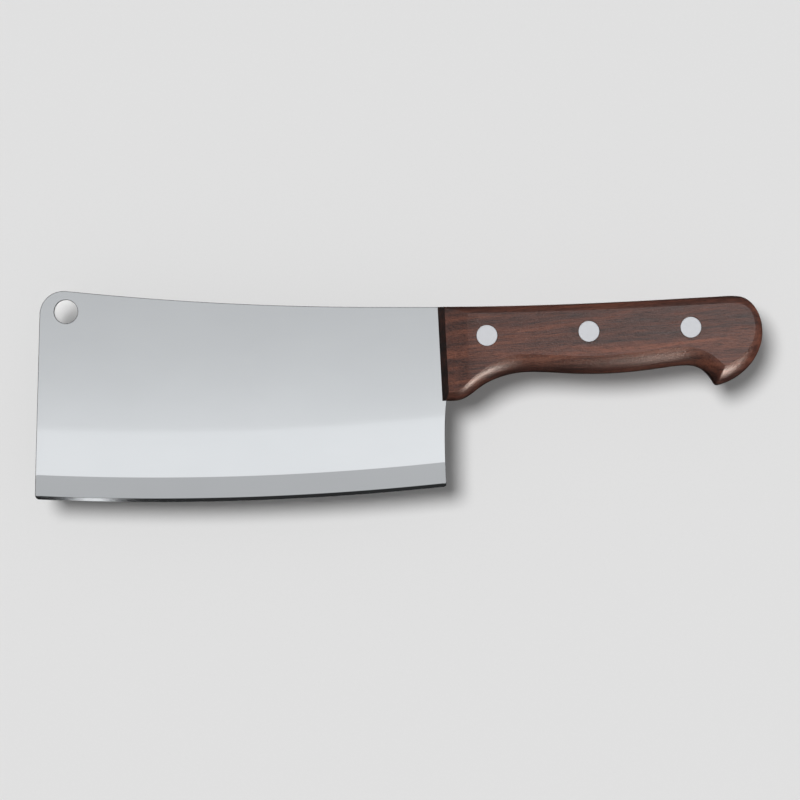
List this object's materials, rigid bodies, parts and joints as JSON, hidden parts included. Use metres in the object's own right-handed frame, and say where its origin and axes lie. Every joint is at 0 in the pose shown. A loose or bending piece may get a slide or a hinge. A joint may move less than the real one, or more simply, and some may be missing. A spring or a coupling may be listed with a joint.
{
  "type": "meat cleaver",
  "caption": "Butcher's meat cleaver: wide ground steel blade with a hanging hole and full tang, wooden handle scales and flush two-piece rivets.",
  "frame": {"origin": "under the middle of the cleaver's length, on the middle plane of the blade, at the height of the lowest point of the cutting edge", "axes": "+X from the front edge of the blade to the butt of the handle, +Y out of the cleaver's right side, +Z from the cutting edge up to the spine"},
  "size_m": [0.3254, 0.0202, 0.0945],
  "materials": {
    "blade_steel": "satin, finely ground",
    "handle_wood": "oiled rosewood, semi-gloss",
    "rivet_metal": "satin, ground flush with the wood"
  },
  "bodies": {
    "root": {"blade_and_tang": "blade_steel", "left_scale": "handle_wood", "right_scale": "handle_wood", "front_rivet_sleeve": "rivet_metal", "front_rivet_pin": "rivet_metal", "middle_rivet_sleeve": "rivet_metal", "middle_rivet_pin": "rivet_metal", "rear_rivet_sleeve": "rivet_metal", "rear_rivet_pin": "rivet_metal"}
  },
  "joints": []
}
